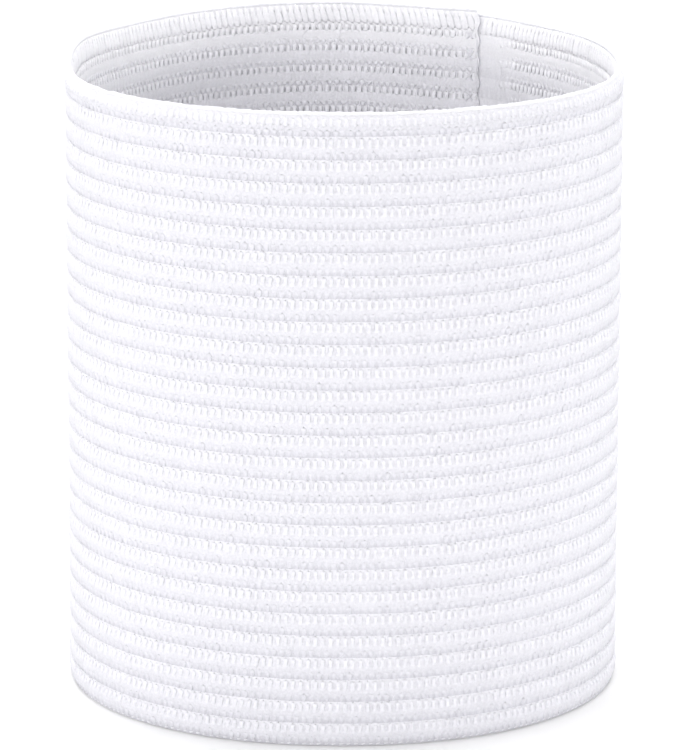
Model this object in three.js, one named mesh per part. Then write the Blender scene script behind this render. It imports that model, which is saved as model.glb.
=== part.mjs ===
// An armband: one strip of ribbed elastic webbing bent round into an upright tube, its ends lapped and sewn.
// Millimetres, +Z up. The tube stands on its lower edge, and the origin is in the middle of its foot.

import * as THREE from 'three';

// The webbing
const webbingWidth = 80;        // from edge to edge, which is the height of the tube
const wall = 1.5;               // thickness over the crests of the ribs
const ribCount = 28;
const selvedge = 0.2;           // plain edge below the lowest rib
const outerGroove = 0.3;        // depth of the grooves between ribs on the outside
const innerGroove = 0.2;        // depth of the grooves on the inside, where the ribs are flatter
const rimWidth = 0.6;           // flat width of the thin upper edge
const footWidth = 0.9;          // flat width of the lower edge

// The plan of the tube, measured to its outer face halfway up
const halfWidth = 35.5;         // from the middle to either side
const frontDepth = 30.3;        // from the widest place to the front, which is a little flattened
const rearDepth = 45;           // from the widest place to the back
const fullness = 0.975;         // power of cosine and sine: 1 is an ellipse, and less is fuller at its corners
const footSpread = 0.012;       // the foot is this share larger than the upper edge

// Where the tube bends sharply at either side, its upper edge stands a little higher
const leftLift = 1.1;
const leftLiftAngle = 167;      // degrees round the plan from +X
const rightLift = 0.5;
const rightLiftAngle = 365;
const liftReach = 18;           // degrees in which a lift falls to about a third
const liftPower = 6;            // a lift fades down the wall with this power of the height

// The lapped seam on the back wall, right of the middle
const seamAngle = 55;           // degrees round the plan from +X to the end that lies inside
const lapAngle = 18;            // how far the ends overlap
const layerGap = 0.3;           // clearance between the two layers
const settleAngle = 18;         // stretch in which a layer comes back from the lap to the plain plan
const narrowing = 0.008;        // share of its width that the end outside the lap has lost
const narrowingAngle = 37;      // stretch in which it loses it
const stepAngle = 9;            // one facet of the wall

const degree = Math.PI / 180;
const layerShift = (wall + layerGap) / 2;
const ribPitch = (webbingWidth - selvedge) / ribCount;

// A smooth rise from 0 to 1 while value goes from start to end.
const rise = (value, start, end) => THREE.MathUtils.smoothstep(value, start, end);

// A bell of height 1 round an angle.
const bell = (angle, middle) => Math.exp(-(((angle - middle) / liftReach) ** 2));

// The power of a value's size, with the value's sign.
const signedPower = (value, power) => Math.sign(value) * Math.abs(value) ** power;

// The middle of the wall as a path round the plan: half an oval in front and half a deeper one behind.
// It starts at the end that lies inside, goes over the back to the left side, the front and the right side,
// and ends behind its own start. Near the lap it is shifted along its normal by half the two layers' pitch.
class PlanPath extends THREE.Curve {
  angleAt(share) {
    return THREE.MathUtils.lerp(seamAngle, seamAngle + 360 + lapAngle, share);
  }

  shiftAt(angle) {
    const inside = 1 - rise(angle, seamAngle + lapAngle, seamAngle + lapAngle + settleAngle);
    const outside = rise(angle, seamAngle + 360 - settleAngle, seamAngle + 360);
    return layerShift * (outside - inside);
  }

  normalAt(angle) {
    const cosine = Math.cos(angle * degree);
    const sine = Math.sin(angle * degree);
    const depth = sine < 0 ? frontDepth : rearDepth;
    const x = depth * signedPower(cosine, 2 - fullness);
    const y = halfWidth * signedPower(sine, 2 - fullness);
    return new THREE.Vector3(x, y, 0).normalize();
  }

  getPoint(share, target = new THREE.Vector3()) {
    const angle = this.angleAt(share);
    const cosine = Math.cos(angle * degree);
    const sine = Math.sin(angle * degree);
    const depth = sine < 0 ? frontDepth : rearDepth;
    const middleY = (frontDepth - rearDepth) / 2;
    const inset = this.shiftAt(angle) - wall / 2;
    target.set(halfWidth * signedPower(cosine, fullness), middleY + depth * signedPower(sine, fullness), 0);
    return target.addScaledVector(this.normalAt(angle), inset);
  }
}

// The section of the webbing: x is outwards from the middle of the wall, y is up. Each rib has a crest
// halfway up, and neighbouring ribs meet in a groove, outside and inside.
function webbingSection() {
  const section = new THREE.Shape();
  const outerCrest = wall / 2;
  section.moveTo(footWidth / 2, 0);
  for (let rib = 0; rib < ribCount; rib += 1) {
    const base = selvedge + rib * ribPitch;
    if (rib > 0) section.lineTo(outerCrest - outerGroove, base);
    section.lineTo(outerCrest, base + ribPitch / 2);
  }
  section.lineTo(rimWidth / 2, webbingWidth);
  section.lineTo(-rimWidth / 2, webbingWidth);
  for (let rib = ribCount - 1; rib >= 0; rib -= 1) {
    const base = selvedge + rib * ribPitch;
    section.lineTo(-outerCrest, base + ribPitch / 2);
    if (rib > 0) section.lineTo(innerGroove - outerCrest, base);
  }
  section.lineTo(-footWidth / 2, 0);
  return section.getPoints();
}

// The strip: its section carried along the path, a ring of vertices at each step, with a cap on each end.
// The plan grows slightly towards the foot, the strip narrows towards the end outside the lap, and its
// upper edge is lifted at either side.
function bandGeometry() {
  const path = new PlanPath();
  const section = webbingSection();
  const steps = Math.round((360 + lapAngle) / stepAngle);
  const count = section.length;
  const positions = [];
  const faces = [];
  for (let step = 0; step <= steps; step += 1) {
    const share = step / steps;
    const angle = path.angleAt(share);
    const middle = path.getPoint(share);
    const normal = path.normalAt(angle);
    const width = 1 - narrowing * rise(angle, seamAngle + 360 - narrowingAngle, seamAngle + 360);
    const lift = leftLift * bell(angle, leftLiftAngle) + rightLift * bell(angle, rightLiftAngle);
    for (const corner of section) {
      const height = corner.y * width + lift * (corner.y / webbingWidth) ** liftPower;
      const spread = 1 + footSpread * (0.5 - height / webbingWidth);
      const point = middle.clone().addScaledVector(normal, corner.x).multiplyScalar(spread);
      positions.push(point.x, point.y, height);
    }
  }
  for (let step = 0; step < steps; step += 1) {
    for (let corner = 0; corner < count; corner += 1) {
      const next = (corner + 1) % count;
      const a = step * count + corner;
      const b = step * count + next;
      const c = (step + 1) * count + next;
      const d = (step + 1) * count + corner;
      faces.push(a, d, c, a, c, b);
    }
  }
  const last = steps * count;
  for (const [a, b, c] of THREE.ShapeUtils.triangulateShape(section, [])) {
    faces.push(a, b, c);
    faces.push(last + a, last + c, last + b);
  }
  const geometry = new THREE.BufferGeometry();
  geometry.setAttribute('position', new THREE.Float32BufferAttribute(positions, 3));
  geometry.setIndex(faces);
  geometry.computeVertexNormals();
  return geometry;
}

// White polyester webbing over rubber threads: matt, with a faint cool cast.
const whiteWebbing = new THREE.MeshStandardMaterial({ color: 0xf1f0f6, roughness: 0.85, metalness: 0 });

const elasticBand = new THREE.Mesh(bandGeometry(), whiteWebbing);
elasticBand.name = 'elastic_band';

const armband = new THREE.Group();
armband.name = 'armband';
armband.add(elasticBand);

export default armband;
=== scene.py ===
import math
import bpy
import numpy as np
from mathutils import Matrix, Vector


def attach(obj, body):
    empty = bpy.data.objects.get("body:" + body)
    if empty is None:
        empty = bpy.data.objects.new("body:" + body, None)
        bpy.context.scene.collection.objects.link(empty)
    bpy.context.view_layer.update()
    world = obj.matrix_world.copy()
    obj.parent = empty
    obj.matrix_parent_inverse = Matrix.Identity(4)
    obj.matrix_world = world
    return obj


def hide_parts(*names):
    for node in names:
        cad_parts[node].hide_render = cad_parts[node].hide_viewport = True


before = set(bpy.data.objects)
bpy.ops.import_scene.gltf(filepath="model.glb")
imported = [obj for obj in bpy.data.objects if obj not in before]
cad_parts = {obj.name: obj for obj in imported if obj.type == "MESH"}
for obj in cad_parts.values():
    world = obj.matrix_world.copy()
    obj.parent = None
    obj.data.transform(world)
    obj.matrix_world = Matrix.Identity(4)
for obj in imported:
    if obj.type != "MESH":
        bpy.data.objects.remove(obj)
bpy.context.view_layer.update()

mm = 0.001
perCm = 10  # millimetres in a centimetre, the unit of the UV map
chance = np.random.default_rng(28)

# the strip of webbing and the way it is bent, in millimetres and degrees, as the CAD has it
band = {
    "width": 80.0,  # edge to edge, which is the height of the tube
    "wall": 1.5,  # over the crests of the ribs
    "halfWidth": 35.5,  # plan: middle to either side
    "frontDepth": 30.3,  # plan: widest place to the front
    "rearDepth": 45.0,  # plan: widest place to the back
    "fullness": 0.975,  # power of cosine and sine: 1 is an ellipse
    "footSpread": 0.012,  # the foot is this share larger than the upper edge
    "leftLift": 1.1,  # the upper edge stands higher by this at the left bend
    "leftLiftAngle": 167.0,
    "rightLift": 0.5,
    "rightLiftAngle": 365.0,
    "liftReach": 18.0,
    "liftPower": 6,
    "seamAngle": 55.0,  # the end that lies inside the lap
    "lapAngle": 18.0,  # how far the ends overlap
    "layerGap": 0.3,  # between the two layers of the lap
    "settleAngle": 18.0,  # stretch in which a layer comes back from the lap
    "narrowing": 0.008,  # share of its width lost by the outer end
    "narrowingAngle": 37.0,  # stretch in which it loses it
    "ribs": 28,
    "ribPitch": 2.85,
    "footRoll": 0.5,  # the lowest groove is this high
    "yarnPitch": 0.908,  # from one lengthwise column of yarn to the next
    "pressReach": 7.0,  # the sewn ends are pressed flat over this length
    "pressThin": 0.85,  # share of its thickness lost at the very end
    "pressShift": 1.08,  # and moved this far towards the other layer
}
firstAngle = band["seamAngle"]
innerLapEnd = firstAngle + band["lapAngle"]
outerLapStart = firstAngle + 360
lastAngle = outerLapStart + band["lapAngle"]


# 3t^2 - 2t^3, with t the share of the way from start to end
def rise(value, start, end):
    share = np.clip((value - start) / (end - start), 0, 1)
    return share * share * (3 - 2 * share)


# the power of a value's size, with the value's sign
def signedPower(value, power):
    return np.sign(value) * np.abs(value) ** power


# middle of the wall and outward normal at an angle of the plan. The outer face is (a C^p, m + b S^p), with
# C and S the cosine and sine, a the half width, b the front or the rear depth and p the fullness, and its
# normal is (b C^(2-p), a S^(2-p)). The middle lies half a wall further in, and half a layer to either side
# at the lap
def planAt(angle):
    turn = np.radians(angle)
    cosine, sine = np.cos(turn), np.sin(turn)
    full, width = band["fullness"], band["halfWidth"]
    depth = np.where(sine < 0, band["frontDepth"], band["rearDepth"])
    middle = (band["frontDepth"] - band["rearDepth"]) / 2
    normal = np.stack([depth * signedPower(cosine, 2 - full), width * signedPower(sine, 2 - full)], -1)
    normal = normal / np.linalg.norm(normal, axis=-1, keepdims=True)
    inner = 1 - rise(angle, innerLapEnd, innerLapEnd + band["settleAngle"])
    outer = rise(angle, outerLapStart - band["settleAngle"], outerLapStart)
    shift = (band["wall"] + band["layerGap"]) / 2 * (outer - inner) - band["wall"] / 2
    face = np.stack([width * signedPower(cosine, full), middle + depth * signedPower(sine, full)], -1)
    return face + normal * shift[..., None], normal


# length along the middle of the wall, added up step by step from the inner end of the strip, with a little
# to spare beyond either end
spareAngle = 2.0
tableSize = 8001
tableAngles = np.linspace(firstAngle - spareAngle, lastAngle + spareAngle, tableSize)
tableSteps = np.linalg.norm(np.diff(planAt(tableAngles)[0], axis=0), axis=1)
tableLengths = np.concatenate([[0.0], np.cumsum(tableSteps)])
tableLengths -= np.interp(firstAngle, tableAngles, tableLengths)
marks = [innerLapEnd, outerLapStart, lastAngle]
lapLength, lapStart, stripLength = np.interp(marks, tableAngles, tableLengths).tolist()


# how far the upper edge is lifted at an angle: two bells, lift x exp(-((angle - place) / reach)^2)
def liftAt(angle):
    left = band["leftLift"] * np.exp(-(((angle - band["leftLiftAngle"]) / band["liftReach"]) ** 2))
    right = band["rightLift"] * np.exp(-(((angle - band["rightLiftAngle"]) / band["liftReach"]) ** 2))
    return left + right


# a place on the strip (along it, up its width, out from the middle of the wall) carried to the tube. Near a
# sewn end out becomes out x (1 - thin x press) + shift x press, with the shift turned round at the outer
# end. The place is then (middle + normal x out) x spread, with spread = 1 + footSpread x (1/2 -
# level/width), and its level is the height less the narrowing's share, plus lift x (height/width)^6
def onBand(place):
    along, height, out = place[..., 0], place[..., 1], place[..., 2]
    angle = np.interp(along, tableLengths, tableAngles)
    middle, normal = planAt(angle)
    pressIn = 1 - rise(along, 0, band["pressReach"])
    pressOut = rise(along, stripLength - band["pressReach"], stripLength)
    out = out * (1 - band["pressThin"] * (pressIn + pressOut)) + band["pressShift"] * (pressIn - pressOut)
    narrowed = band["narrowing"] * rise(angle, outerLapStart - band["narrowingAngle"], outerLapStart)
    level = height * (1 - narrowed)
    level = level + liftAt(angle) * (np.maximum(height, 0) / band["width"]) ** band["liftPower"]
    spread = 1 + band["footSpread"] * (0.5 - level / band["width"])
    flat = (middle + normal * out[..., None]) * spread[..., None]
    return np.concatenate([flat, level[..., None]], -1) * mm


# a mesh object at the origin from vertex places, a flat list of corners and the size of each face. Its UV
# map is the place on the strip in centimetres, and a face of n corners counts as n - 2 triangles
def makePiece(name, places, corners, sizes, material):
    strip = places.reshape(-1, 3)
    mesh = bpy.data.meshes.new(name)
    mesh.vertices.add(len(strip))
    mesh.vertices.foreach_set("co", onBand(strip).astype(np.float32).ravel())
    mesh.loops.add(len(corners))
    mesh.loops.foreach_set("vertex_index", corners.astype(np.int32))
    mesh.polygons.add(len(sizes))
    starts = np.concatenate([[0], np.cumsum(sizes)[:-1]])
    mesh.polygons.foreach_set("loop_start", starts.astype(np.int32))
    mesh.polygons.foreach_set("use_smooth", np.ones(len(sizes), bool))
    stripMap = mesh.uv_layers.new(name="strip")
    stripMap.data.foreach_set("uv", (strip[corners, :2] / perCm).astype(np.float32).ravel())
    mesh.update(calc_edges=True)
    mesh.validate()
    mesh.materials.append(material)
    piece = bpy.data.objects.new(name, mesh)
    bpy.context.scene.collection.objects.link(piece)
    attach(piece, "root")
    triangles = int((sizes - 2).sum())
    print(f"{name}: {len(sizes)} faces, {triangles} triangles")
    return piece


# many closed yarns in one mesh. Each runs through its stops; at a stop the section is centre + wide x cos t
# + tall x sin t, and the first and last stops close to a point, centre + tall/2. The cross product of wide
# and tall points the way the yarn runs
def yarnPiece(name, centre, wide, tall, turns, material):
    count, stops, _ = centre.shape
    ring = len(turns)
    cosine, sine = np.cos(turns)[:, None], np.sin(turns)[:, None]
    body = slice(1, -1)
    rings = centre[:, body, None] + wide[:, body, None] * cosine + tall[:, body, None] * sine
    tips = centre[:, [0, -1]] + 0.5 * tall[:, [0, -1]]
    places = np.concatenate([tips[:, :1], rings.reshape(count, -1, 3), tips[:, 1:]], 1)
    k = np.arange(ring)
    after = (k + 1) % ring
    belts = stops - 3  # belts of faces between neighbouring rings
    first = 1 + ring * np.arange(belts)[:, None]
    quads = np.stack([first + k, first + after, first + ring + after, first + ring + k], -1).reshape(-1)
    last = 1 + ring * belts
    end = last + ring
    headFan = np.stack([0 * k, 1 + after, 1 + k], -1).reshape(-1)
    tailFan = np.stack([0 * k + end, last + k, last + after], -1).reshape(-1)
    corners = np.concatenate([headFan, quads, tailFan])
    sizes = np.concatenate([np.full(ring, 3), np.full(ring * belts, 4), np.full(ring, 3)])
    allCorners = (corners + (end + 1) * np.arange(count)[:, None]).reshape(-1)
    return makePiece(name, places, allCorners, np.tile(sizes, count), material)


print(f"strip: {stripLength:.1f} mm long, lap {lapLength:.1f} mm")


# a number socket that takes part in Python sums
class Number:
    def __init__(self, finish, socket):
        self.finish = finish
        self.socket = socket

    def __add__(self, other):
        return self.finish.maths("ADD", self, other)

    def __sub__(self, other):
        return self.finish.maths("SUBTRACT", self, other)

    def __rsub__(self, other):
        return self.finish.maths("SUBTRACT", other, self)

    def __rmul__(self, other):
        return self.finish.maths("MULTIPLY", other, self)

    def __truediv__(self, other):
        return self.finish.maths("DIVIDE", self, other)

    def __pow__(self, other):
        return self.finish.maths("POWER", self, other)


# a material and the nodes in it
class Finish:
    def __init__(self, name):
        self.material = bpy.data.materials.new(name)
        self.material.use_nodes = True
        self.tree = self.material.node_tree
        self.shader = self.tree.nodes["Principled BSDF"]

    def node(self, kind, settings, values, output=0):
        made = self.tree.nodes.new(kind)
        for key, value in settings.items():
            setattr(made, key, value)
        for key, value in values.items():
            self.feed(made.inputs[key], value)
        return Number(self, made.outputs[output])

    def feed(self, socket, value):
        if isinstance(value, Number):
            self.tree.links.new(value.socket, socket)
        else:
            socket.default_value = value

    def maths(self, operation, *values):
        return self.node("ShaderNodeMath", {"operation": operation}, dict(enumerate(values)))

    def blend(self, share, first, second):
        return self.node("ShaderNodeMix", {"data_type": "RGBA"}, {0: share, 6: first, 7: second}, 2)

    def noise(self, place, scale):
        values = {"Vector": place, "Scale": scale, "Detail": 3.0}
        return self.node("ShaderNodeTexNoise", {"noise_dimensions": "2D"}, values)


# woven yarn: fine filaments along one way of the strip, a wave of one period to a column of yarn, a mottle
# of two sizes, and a painted shade that deepens down each rib, where its lower half faces down:
# painted shade x (share of the rib)^ribPower
def yarnFinish(name, look):
    finish = Finish(name)
    shader = finish.shader
    shader.inputs["Roughness"].default_value = look["roughness"]
    shader.inputs["Sheen Weight"].default_value = look["sheen"]
    shader.inputs["Sheen Roughness"].default_value = look["sheenRoughness"]
    shader.inputs["Specular IOR Level"].default_value = look["specular"]
    uv = finish.node("ShaderNodeUVMap", {"uv_map": "strip"}, {})
    stretch = {0: uv, 1: (*look["filaments"], 1.0)}
    stretched = finish.node("ShaderNodeVectorMath", {"operation": "MULTIPLY"}, stretch)
    filament = finish.noise(stretched, 1.0)
    knit = finish.noise(uv, look["knitCells"])
    patch = finish.noise(uv, look["patchCells"])
    across = finish.node("ShaderNodeSeparateXYZ", {}, {0: uv}, 1)
    ribPlace = finish.maths("FRACT", (band["width"] / perCm - across) / (band["ribPitch"] / perCm))
    along = finish.node("ShaderNodeSeparateXYZ", {}, {0: uv}, 0)
    column = finish.maths("COSINE", (2 * math.pi / (band["yarnPitch"] / perCm)) * along)
    # painted shade down each rib, darker where the rib's lower half faces down, with the yarn's own mottle
    # added
    dark = look["paintedRibShade"] * ribPlace ** look["ribPower"] + look["knit"] * knit + look["patch"] * patch
    colour = finish.blend(dark, (*look["light"], 1.0), (*look["dark"], 1.0))
    finish.feed(shader.inputs["Base Color"], colour)
    height = filament + look["knitRelief"] * knit - look["columnRelief"] * column
    values = {"Strength": look["relief"], "Distance": look["reliefDepth"], "Height": height}
    bump = finish.node("ShaderNodeBump", {}, values)
    finish.feed(shader.inputs["Normal"], bump)
    return finish.material


whiteYarn = {
    "light": (0.82, 0.815, 0.853),
    "dark": (0.45, 0.445, 0.49),
    # painted shade down each rib, standing for the shade on the rib's lower half
    "paintedRibShade": 0.49,
    "ribPower": 1.35,
    "knit": 0.38,
    "patch": 0.14,
    "knitCells": 34.0,  # noise cells in a centimetre
    "patchCells": 5.0,
    "knitRelief": 1.6,
    "columnRelief": 0.45,
    "roughness": 0.9,
    "sheen": 0.15,
    "sheenRoughness": 0.5,
    "specular": 0.3,
    "relief": 0.6,
    "reliefDepth": 0.0001,  # in metres
    "filaments": (110.0, 30.0),  # noise cells in a centimetre along and across the strip
}
clothFinish = yarnFinish("ribbed_webbing", whiteYarn)
floatLook = {
    **whiteYarn,
    "light": (0.845, 0.84, 0.88),
    "paintedRibShade": 0.44,
    "relief": 0.45,
    "columnRelief": 0.0,
}
floatFinish = yarnFinish("float_yarn", floatLook)
# the inside is painted lighter than the outside of the same fabric, as painted light standing for the light
# that gets in, and its painted shade down each rib is weaker
paintedLightInside = {"light": (0.945, 0.94, 0.973), "dark": (0.60, 0.595, 0.64), "paintedRibShade": 0.15}
innerFinish = yarnFinish("inner_webbing_painted_light", {**whiteYarn, **paintedLightInside})
innerFloatFinish = yarnFinish("inner_float_yarn_painted_light", {**floatLook, **paintedLightInside, "knit": 0.3, "paintedRibShade": 0.09})
# the inside near the upper edge is painted lighter still, as painted light falling in over the edge; the
# edge cords and the seam thread take only the rest of this look
rimLook = {**whiteYarn, "light": (0.95, 0.945, 0.97), "knit": 0.2, "paintedRibShade": 0.0, "columnRelief": 0.0}
rimPaintedLightFinish = yarnFinish("rim_yarn_painted_light", rimLook)
edgeFinish = yarnFinish("edge_yarn", {**rimLook, "light": (0.8, 0.795, 0.83), "filaments": (60.0, 160.0)})
threadLook = {**rimLook, "light": whiteYarn["light"], "filaments": (60.0, 60.0)}
threadFinish = yarnFinish("seam_thread", threadLook)
print("finishes made")

# heights of the grooves between ribs, from the upper edge to the lowest groove
ribLines = band["width"] - band["ribPitch"] * np.arange(band["ribs"] + 1.0)
ribLines[-1] = band["footRoll"]

cloth = {
    "steps": 158,  # along the strip
    "ribStops": (0.0, 0.06, 0.14, 0.25, 0.35, 0.45, 0.58, 0.75, 0.89),  # down each rib
    # how far out from the middle of the wall each face is at each stop
    "outer": (0.38, 0.45, 0.46, 0.44, 0.58, 0.70, 0.66, 0.58, 0.48),
    "inner": (0.43, 0.455, 0.34, 0.41, 0.59, 0.61, 0.60, 0.54, 0.37),
    "upperEdge": 79.7,
    "upperOut": 0.22,
    "outerSlope": 0.75,  # the first rib leaves the thin edge this steeply, out for each rib down
    "innerSlope": 0.35,
    "innerSecond": 0.40,  # the second rib has no grooves inside deeper than this
    "lowerEdge": 0.12,
    "lowerOut": 0.3,
    "firstAlong": 0.85,  # where the inner end is cut
    "endSteps": (0.0, 0.12, 0.35, 0.8),  # from the cut end, close together where it waves
    "evenFrom": 2.4,  # even steps from here
    "evenTo": 0.4,  # until this far from the outer end
    "paintedLightRibs": 2,  # ribs inside painted lighter still, as painted light falling in over the upper edge
    "sewnOut": 0.57,  # beside the sewn end the inside has no grooves deeper than this
    "sewnReach": 7.0,
    "sewnFlat": 3.1,  # and no yarns this near to it
    "endWave": 0.36,  # the cut end bulges by this at every rib
    "endWaveReach": 1.6,
}


# a closed section carried along the strip. Down each rib the two faces pass through the stops' values, and
# the first rib starts thin: out = min(stop's value, upperOut + slope x v), with v the share of the rib.
# Beside the sewn end the inner face is filled up to sewnOut, and the cut end waves by
# endWave/2 x (1 - cos(2 pi v))
def makeCloth():
    stops = np.array(cloth["ribStops"])
    v = np.append(np.tile(stops, band["ribs"]), 1.0)
    rib = np.append(np.repeat(np.arange(band["ribs"]), len(stops)), band["ribs"] - 1)
    heights = ribLines[rib] + (ribLines[rib + 1] - ribLines[rib]) * v
    first = rib == 0
    heights[first] = cloth["upperEdge"] + (ribLines[1] - cloth["upperEdge"]) * v[first]
    outer = np.append(np.tile(cloth["outer"], band["ribs"]), cloth["outer"][0])
    inner = np.append(np.tile(cloth["inner"], band["ribs"]), cloth["inner"][0])
    outer[first] = np.minimum(outer, cloth["upperOut"] + cloth["outerSlope"] * v)[first]
    inner[first] = np.minimum(inner, cloth["upperOut"] + cloth["innerSlope"] * v)[first]
    inner[rib == 1] = np.maximum(inner, cloth["innerSecond"])[rib == 1]
    filled = np.where(rib > 0, np.maximum(inner, cloth["sewnOut"]), inner)
    heights = np.append(heights, cloth["lowerEdge"])
    outer = np.append(outer, cloth["lowerOut"])
    inner = np.append(inner, cloth["lowerOut"])
    filled = np.append(filled, cloth["lowerOut"])
    v = np.append(v, 1.0)
    levels = len(heights)
    near = cloth["firstAlong"] + np.array(cloth["endSteps"])
    even = np.linspace(cloth["evenFrom"], stripLength - cloth["evenTo"], cloth["steps"])
    along = np.concatenate([near, even, [stripLength]])
    ringHeights = np.concatenate([heights[::-1], heights])
    ringOut = np.concatenate([outer[::-1], -inner])
    ringFilled = np.concatenate([outer[::-1], -filled])
    ringV = np.concatenate([v[::-1], v])
    ring = len(ringHeights)
    steps = len(along)
    places = np.empty((steps, ring, 3))
    wave = 0.5 * cloth["endWave"] * (1 - np.cos(2 * np.pi * ringV))
    fade = 1 - rise(along, cloth["firstAlong"], cloth["firstAlong"] + cloth["endWaveReach"])
    places[..., 0] = along[:, None] - wave * fade[:, None]
    places[..., 1] = ringHeights
    sewn = rise(along, lapStart - cloth["sewnReach"], lapStart - cloth["sewnFlat"])[:, None]
    places[..., 2] = ringOut * (1 - sewn) + ringFilled * sewn
    k = np.arange(ring)
    after = (k + 1) % ring
    row = ring * np.arange(steps - 1)[:, None]
    walls = np.stack([row + k, row + ring + k, row + ring + after, row + after], -1).reshape(-1, 4)
    i = np.arange(levels - 1)
    startCap = np.stack([i, i + 1, ring - 2 - i, ring - 1 - i], -1)
    endCap = startCap[:, ::-1] + ring * (steps - 1)
    faces = np.concatenate([walls, startCap, endCap])
    piece = makePiece("band_cloth", places, faces.reshape(-1), np.full(len(faces), 4), clothFinish)
    piece.data.materials.append(innerFinish)
    piece.data.materials.append(rimPaintedLightFinish)
    inward = (k >= levels) & (k < ring - 1)
    upper = inward & (k < levels + cloth["paintedLightRibs"] * len(stops))
    finishes = np.zeros(len(faces), np.int32)  # 0 outside, 1 inside, painted lighter, 2 inside near the upper edge, painted lighter still
    finishes[: len(walls)] = np.tile(inward.astype(np.int32) + upper, steps - 1)
    piece.data.polygons.foreach_set("material_index", finishes)
    return piece


bandCloth = makeCloth()
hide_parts("elastic_band")

columnCount = round(stripLength / band["yarnPitch"])
columnPitch = stripLength / columnCount
columns = columnPitch * (np.arange(columnCount) + 0.5)
halfRing = np.radians([0.0, 60.0, 120.0, 180.0])
fullRing = np.radians([0.0, 60.0, 120.0, 180.0, 240.0, 300.0])
thinRing = np.radians([0.0, 120.0, 240.0])


# rows of short arched yarns beside the grooves. Each yarn runs down its rib from the first of its stops to
# the last: height = top - rib's height x stop, along = column + lean x (stop - mean stop). Low and high are
# how far out its foot and its crest are, and on the first rib outside both sink with the thin edge
def makeRows(name, row, side, offset, keep, ribs, material):
    places = columns[keep] + offset * columnPitch
    stops = np.array(row["stops"])
    count = len(ribs) * len(places)
    rib = np.repeat(ribs, len(places))
    top = np.where(rib == 0, ribLines[0] - row["firstDrop"], ribLines[rib])
    ribHeight = top - ribLines[rib + 1]
    shake = chance.normal(0, 1, (count, 6)).clip(-2, 2)
    leanWay = np.sign(np.tile(places, len(ribs)) - stripLength / 2)
    lean = row["lean"] * leanWay + row["leanShake"] * shake[:, 0]
    height = top[:, None] - ribHeight[:, None] * stops + row["heightShake"] * shake[:, 1:2]
    along = np.tile(places, len(ribs))[:, None] + row["alongShake"] * shake[:, 2:3]
    along = along + lean[:, None] * (stops - stops.mean())
    half = np.array(row["half"]) * (1 + row["sizeShake"] * shake[:, 3:4])
    low = np.array(row["low"]) + 0 * half
    high = np.array(row["high"]) + row["outShake"] * shake[:, 4:5]
    if row["firstThin"]:
        thin = cloth["upperOut"] + cloth["outerSlope"] * stops
        first = (rib == 0)[:, None]
        sink = np.maximum(high - row["firstThin"] - thin, 0) * first
        high = high - sink
        low = low - sink
    centre = np.stack([along, height, side * low], -1)
    wide = np.zeros_like(centre)
    wide[..., 0] = side * half
    tall = np.zeros_like(centre)
    tall[..., 2] = side * (high - low)
    return yarnPiece(name, centre, wide, tall, halfRing, material)


upperRow = {
    "stops": (0.02, 0.11, 0.21, 0.31, 0.42, 0.54),
    "half": (0.0, 0.455, 0.33, 0.31, 0.44, 0.0),
    "low": (0.34, 0.34, 0.38, 0.42, 0.56, 0.60),
    "high": (0.48, 0.61, 0.69, 0.73, 0.73, 0.66),
    "lean": 0.0,  # along for each rib down
    "leanShake": 0.05,
    "heightShake": 0.04,
    "alongShake": 0.03,
    "sizeShake": 0.06,
    "outShake": 0.02,
    "firstDrop": 0.55,  # on the first rib the yarns start this far below the edge
    "firstThin": 0.18,  # and stand this far above the thin cloth
}
lowerRow = {
    **upperRow,
    "stops": (0.56, 0.72, 0.84, 0.94, 1.02),
    "half": (0.0, 0.46, 0.38, 0.29, 0.0),
    "low": (0.60, 0.54, 0.46, 0.40, 0.34),
    "high": (0.65, 0.64, 0.60, 0.56, 0.48),
}
innerUpperRow = {
    **upperRow,
    "stops": (-0.03, 0.06, 0.18, 0.31, 0.42),
    "half": (0.0, 0.455, 0.35, 0.46, 0.0),
    "low": (0.40, 0.40, 0.38, 0.50, 0.52),
    "high": (0.50, 0.64, 0.70, 0.67, 0.58),
}
innerSecondRow = {
    **innerUpperRow,
    "half": (0.0, 0.455, 0.37, 0.46, 0.0),
    "high": (0.52, 0.66, 0.73, 0.68, 0.58),
}
innerLowerRow = {
    **upperRow,
    "stops": (0.66, 0.80, 0.92, 1.02),
    "half": (0.0, 0.45, 0.32, 0.0),
    "low": (0.50, 0.45, 0.38, 0.42),
    "high": (0.57, 0.60, 0.59, 0.48),
}
# the tall yarns just inside the upper edge, which lean the same way as far as the seam and the other way
# beyond it
innerRimRow = {
    **upperRow,
    "stops": (0.08, 0.16, 0.28, 0.50, 0.74, 0.90, 1.02),
    "half": (0.0, 0.33, 0.35, 0.58, 0.58, 0.46, 0.0),
    "low": (0.10, 0.14, 0.26, 0.40, 0.43, 0.41, 0.38),
    "high": (0.26, 0.42, 0.50, 0.57, 0.60, 0.57, 0.48),
    "lean": 0.62,
    "firstThin": 0.0,
    "firstDrop": 0.0,
}
allRibs = np.arange(band["ribs"])
halfRibs = band["ribs"] // 2
lapClear = 0.5  # the columns of yarn stay this clear of the lap
edgeClear = 0.3  # and of a cut end
outside = columns > lapLength + lapClear  # the layer inside the lap shows no outer face
inside = (columns < lapStart - cloth["sewnFlat"]) & (columns > cloth["firstAlong"] + edgeClear)
insideRim = (columns < lapStart - edgeClear) & (columns > cloth["firstAlong"])
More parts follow.
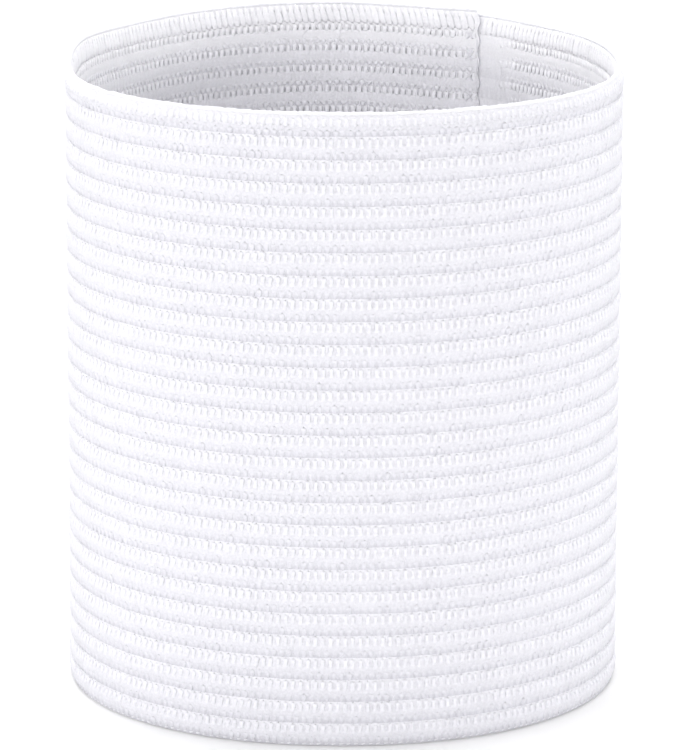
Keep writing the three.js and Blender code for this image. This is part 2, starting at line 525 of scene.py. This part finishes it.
pieces = [
    makeRows("outer_floats_high", upperRow, 1, 0.0, outside, allRibs[:halfRibs], floatFinish),
    makeRows("outer_floats_low", upperRow, 1, 0.0, outside, allRibs[halfRibs:], floatFinish),
    makeRows("outer_float_feet", lowerRow, 1, 0.5, outside, allRibs, floatFinish),
    # the yarns inside the two upper ribs take the lighter rim finish: painted light
    makeRows("inner_floats_second", innerSecondRow, -1, 0.0, inside, allRibs[1:2], rimPaintedLightFinish),
    makeRows("inner_floats", innerUpperRow, -1, 0.0, inside, allRibs[2:], innerFloatFinish),
    makeRows("inner_float_feet", innerLowerRow, -1, 0.5, inside, allRibs[1:], innerFloatFinish),
    makeRows("inner_rim_floats", innerRimRow, -1, 0.5, insideRim, allRibs[:1], rimPaintedLightFinish),
]

rim = {
    "name": "rim_cord",
    "height": 79.83,
    "out": 0.0,
    "radius": 0.27,
    "twist": 0.035,
    "rise": 0.02,
    "turns": 1.0,  # of the twist in a column
    "steps": 5,  # in a column
    "sides": 8,
    "wobble": 0.01,  # of the radius
    "endGap": 0.1,  # from the strip's ends
}
foot = {**rim, "name": "foot_cord", "height": 0.40, "out": 0.04, "radius": 0.32}


# a twisted cord along an edge of the strip, closed at both ends: at turn t of its section the radius is
# radius + twist x cos(2t - 2 pi along/pitch) + wobble x drift, and its middle is lifted by
# rise x (sin(pi along/pitch) + drift), where drift is a random line
def makeCord(edge, material):
    sides = edge["sides"]
    steps = edge["steps"] * columnCount
    along = np.linspace(cloth["firstAlong"] + edge["endGap"], stripLength - edge["endGap"], steps)
    turn = 2 * np.pi * np.arange(sides) / sides
    phase = 2 * np.pi * edge["turns"] * along / columnPitch
    knots = chance.normal(0, 1, columnCount + 1)
    drift = np.interp(along, columnPitch * np.arange(columnCount + 1), knots)
    twist = edge["twist"] * np.cos(2 * turn - phase[:, None])
    radius = edge["radius"] + twist + edge["wobble"] * drift[:, None]
    places = np.empty((steps, sides, 3))
    places[..., 0] = along[:, None]
    lifted = edge["height"] + edge["rise"] * (np.sin(phase / 2) + drift)
    places[..., 1] = lifted[:, None] + radius * np.sin(turn)
    places[..., 2] = edge["out"] + radius * np.cos(turn)
    k = np.arange(sides)
    after = (k + 1) % sides
    row = sides * np.arange(steps - 1)[:, None]
    walls = np.stack([row + k, row + sides + k, row + sides + after, row + after], -1).reshape(-1)
    caps = np.concatenate([k, sides * (steps - 1) + k[::-1]])
    sizes = np.concatenate([np.full(sides * (steps - 1), 4), np.full(2, sides)])
    return makePiece(edge["name"], places, np.concatenate([walls, caps]), sizes, material)


pieces.append(makeCord(rim, edgeFinish))
pieces.append(makeCord(foot, edgeFinish))

seam = {
    "place": 1.9,  # of the row of stitches, along from the inner end
    "crossHalf": 0.5,
    "crossHeight": 1.2,
    "crossDrop": 0.55,  # of a cross's middle below its groove
    "crossWide": 0.14,  # half the width of a crossed stitch
    "runWide": 0.12,  # and of a running one
    "runOffset": 1.1,  # from the crosses to the running stitches
    "runGap": 0.1,  # between a cross and a running stitch
    "stops": (0.0, 0.12, 0.4, 0.6, 0.88, 1.0),  # along a stitch
    "out": 0.72,
    "sink": 0.2,  # how far the ends lie below the middle
    "sinkShare": 0.2,  # over this share of the stitch
    "thick": 0.35,
    "shake": 0.04,
}


# straight thread stitches from one place on the strip to another, on one face: at the share s of the way,
# place = start x (1 - s) + end x s, and out falls from its value in the middle by sink at either end
def makeStitches(name, start, end, side, half):
    share = np.array(seam["stops"])
    count = len(start)
    shake = seam["shake"] * chance.normal(0, 1, (2, count, 2)).clip(-2, 2)
    start = start + shake[0]
    end = end + shake[1]
    flat = start[:, None] * (1 - share[:, None]) + end[:, None] * share[:, None]
    sunk = 1 - rise(np.minimum(share, 1 - share), 0.0, seam["sinkShare"])
    out = seam["out"] - seam["sink"] * sunk
    centre = np.concatenate([flat, np.broadcast_to(side * out[:, None], (count, len(share), 1))], -1)
    run = end - start
    run = run / np.linalg.norm(run, axis=1, keepdims=True)
    wide = np.zeros_like(centre)
    wide[..., 0] = -side * (run[:, None, 1] * half)
    wide[..., 1] = side * (run[:, None, 0] * half)
    tall = np.zeros_like(centre)
    tall[..., 2] = side * seam["thick"]
    return yarnPiece(name, centre, wide, tall, fullRing, threadFinish)


# at each groove a cross of two stitches, from place - half to place + half, and a running stitch down each
# rib, from the foot of one cross to the top of the next
def makeSeam(name, place, side, way):
    grooves = ribLines[1:-1] - seam["crossDrop"]
    left = place - seam["crossHalf"] + 0 * grooves
    right = place + seam["crossHalf"] + 0 * grooves
    top = grooves + seam["crossHeight"] / 2
    low = grooves - seam["crossHeight"] / 2
    starts = np.concatenate([np.stack([left, top], -1), np.stack([right, top], -1)])
    ends = np.concatenate([np.stack([right, low], -1), np.stack([left, low], -1)])
    crosses = makeStitches(name + "_crosses", starts, ends, side, seam["crossWide"])
    runPlace = place - way * seam["runOffset"] + 0 * grooves
    runStart = np.stack([runPlace, low + seam["runGap"]], -1)
    runEnd = np.stack([runPlace, top - band["ribPitch"] - seam["runGap"]], -1)
    runs = makeStitches(name + "_runs", runStart[:-1], runEnd[:-1], side, seam["runWide"])
    return [crosses, runs]


pieces += makeSeam("seam_inside", seam["place"], -1, 1)
pieces += makeSeam("seam_outside", stripLength - seam["place"], 1, -1)

fuzz = {
    "count": 300,
    "outsideShare": 0.75,  # the others stand on the inside
    "edgeShare": 0.4,  # of the fibres that stand near the upper edge
    "edgeFrom": 0.93,  # share of the width from which they start
    "from": 0.03,  # and from which the others do
    "to": 0.98,
    "lapClear": 2.0,  # along, from the lap at either end
    "seamClear": 6.0,
    "shortest": 0.7,
    "longest": 2.0,
    "bend": 1.2,  # radians
    "thick": 0.03,
    "root": 0.6,  # out from the middle of the wall
    "edgeRoot": 0.3,  # less by this on the thin upper rib
    "lift": 0.45,
    "leastLift": 0.4,  # share of the lift that every fibre has
    "topReach": 0.6,  # no fibre stands higher than this above the edge
}


# loose fibres: each leaves the face at a slant and bends, out = root + lift x (s - s^2/2), with s from 0 to
# 1 along it, while its way over the strip turns by bend x s
def makeFuzz():
    count = fuzz["count"]
    pick = chance.random((count, 6))
    share = np.linspace(0, 1, 6)
    side = np.where(pick[:, 0] < fuzz["outsideShare"], 1.0, -1.0)[:, None]
    low = np.where(pick[:, 1] < fuzz["edgeShare"], fuzz["edgeFrom"], fuzz["from"])
    height = band["width"] * (low + (fuzz["to"] - low) * pick[:, 2])
    stretch = lapStart - lapLength - (fuzz["lapClear"] + fuzz["seamClear"])
    along = lapLength + fuzz["lapClear"] + stretch * pick[:, 3]
    way = 2 * np.pi * pick[:, 4:5] + fuzz["bend"] * (pick[:, 5:6] - 0.5) * share
    length = (fuzz["shortest"] + (fuzz["longest"] - fuzz["shortest"]) * chance.random(count))[:, None]
    out = side * (fuzz["root"] + fuzz["lift"] * (share - share**2 / 2) * (fuzz["leastLift"] + pick[:, 5:6]))
    thin = (height[:, None] > band["width"] - band["ribPitch"]) * fuzz["edgeRoot"]
    reach = along[:, None] + length * share * np.cos(way)
    level = height[:, None] + length * share * np.sin(way)
    level = np.minimum(level, band["width"] + fuzz["topReach"])
    centre = np.stack([reach, level, out - side * thin], -1)
    wide = np.zeros_like(centre)
    wide[..., 0] = -side * fuzz["thick"] * np.sin(way)
    wide[..., 1] = side * fuzz["thick"] * np.cos(way)
    tall = np.zeros_like(centre)
    tall[..., 2] = side * fuzz["thick"]
    return yarnPiece("loose_fibres", centre, wide, tall, thinRing, threadFinish)


pieces.append(makeFuzz())

print("camera and light")

# where the camera stands in metres and how it is turned in radians
view = {
    "place": (-0.02082, -0.52274, 0.18235),
    "pitch": 0.27020,
    "yaw": 0.03964,
    "roll": 0.00257,
    "lens": 200.06,  # and the sensor's width, in millimetres
    "sensor": 36.0,
    "nearest": 0.01,
    "farthest": 50.0,
}


# looks along (sin yaw cos pitch, cos yaw cos pitch, -sin pitch), turned about that line by the roll
def makeCamera():
    data = bpy.data.cameras.new("front_view")
    data.lens = view["lens"]
    data.sensor_width = view["sensor"]
    data.clip_start = view["nearest"]
    data.clip_end = view["farthest"]
    pitch, yaw, roll = view["pitch"], view["yaw"], view["roll"]
    forward = Vector((math.sin(yaw) * math.cos(pitch), math.cos(yaw) * math.cos(pitch), -math.sin(pitch)))
    level = Vector((math.cos(yaw), -math.sin(yaw), 0.0))
    up = level.cross(forward)
    right = level * math.cos(roll) + up * math.sin(roll)
    upright = up * math.cos(roll) - level * math.sin(roll)
    turn = Matrix((right, upright, -forward)).transposed().to_4x4()
    camera = bpy.data.objects.new("front_view", data)
    camera.matrix_world = Matrix.Translation(view["place"]) @ turn
    bpy.context.scene.collection.objects.link(camera)
    bpy.context.scene.camera = camera


makeCamera()

studio = {
    "surround": 0.05,  # brightness of the white surround
    "floorColour": (0.9, 0.9, 0.9),
    "floorRoughness": 0.9,
    "floorSpecular": 0.1,
    "floorReach": 5.0,  # metres from the middle to each side
    "lights": {
        # place, aim, width, height and power in metres and watts
        "front": ((0.0, -2.2, 0.85), (0, 0, 0.04), 2.2, 0.6, 21.1),
        "front_low": ((0.0, -2.4, 0.3), (0, 0, 0.08), 3.0, 0.35, 19.0),
        "left_high": ((-1.7, -0.8, 1.4), (0, 0, 0.04), 1.2, 1.0, 15.0),
        "left_low": ((-2.0, -0.2, 0.28), (0, 0, 0.04), 1.0, 0.4, 10.5),
        "right_high": ((1.7, -0.8, 1.4), (0, 0, 0.04), 1.2, 1.0, 4.5),
        "right_low": ((2.0, -0.2, 0.28), (0, 0, 0.04), 1.0, 0.4, 14.0),
        "left_back": ((-1.3, 0.8, 0.9), (0, 0, 0.04), 0.8, 0.6, 7.0),
        "right_back": ((1.3, 0.8, 0.9), (0, 0, 0.04), 0.8, 0.6, 7.0),
        "above": ((0.0, 0.3, 1.3), (0, 0.1, 0.0), 1.0, 0.8, 19.5),
    },
}


# a white surround, soft lamps aimed at the band and a pale floor
def makeStudio():
    world = bpy.data.worlds.new("white_surround")
    world.use_nodes = True
    background = world.node_tree.nodes["Background"]
    background.inputs["Color"].default_value = (1, 1, 1, 1)
    background.inputs["Strength"].default_value = studio["surround"]
    bpy.context.scene.world = world
    for name, (place, aim, width, height, power) in studio["lights"].items():
        data = bpy.data.lights.new(name, "AREA")
        data.shape = "RECTANGLE"
        data.size = width
        data.size_y = height
        data.energy = power
        lamp = bpy.data.objects.new(name, data)
        lamp.location = place
        lamp.rotation_euler = (Vector(aim) - Vector(place)).to_track_quat("-Z", "Y").to_euler()
        lamp.visible_camera = False
        bpy.context.scene.collection.objects.link(lamp)
    floorMesh = bpy.data.meshes.new("floor")
    reach = studio["floorReach"]
    corners = [(-reach, -reach, 0), (reach, -reach, 0), (reach, reach, 0), (-reach, reach, 0)]
    floorMesh.from_pydata(corners, [], [(0, 1, 2, 3)])
    floor = bpy.data.objects.new("floor", floorMesh)
    bpy.context.scene.collection.objects.link(floor)
    paper = Finish("pale_floor")
    paper.shader.inputs["Base Color"].default_value = (*studio["floorColour"], 1.0)
    paper.shader.inputs["Roughness"].default_value = studio["floorRoughness"]
    paper.shader.inputs["Specular IOR Level"].default_value = studio["floorSpecular"]
    floorMesh.materials.append(paper.material)


makeStudio()
bpy.context.scene.view_settings.view_transform = "Standard"
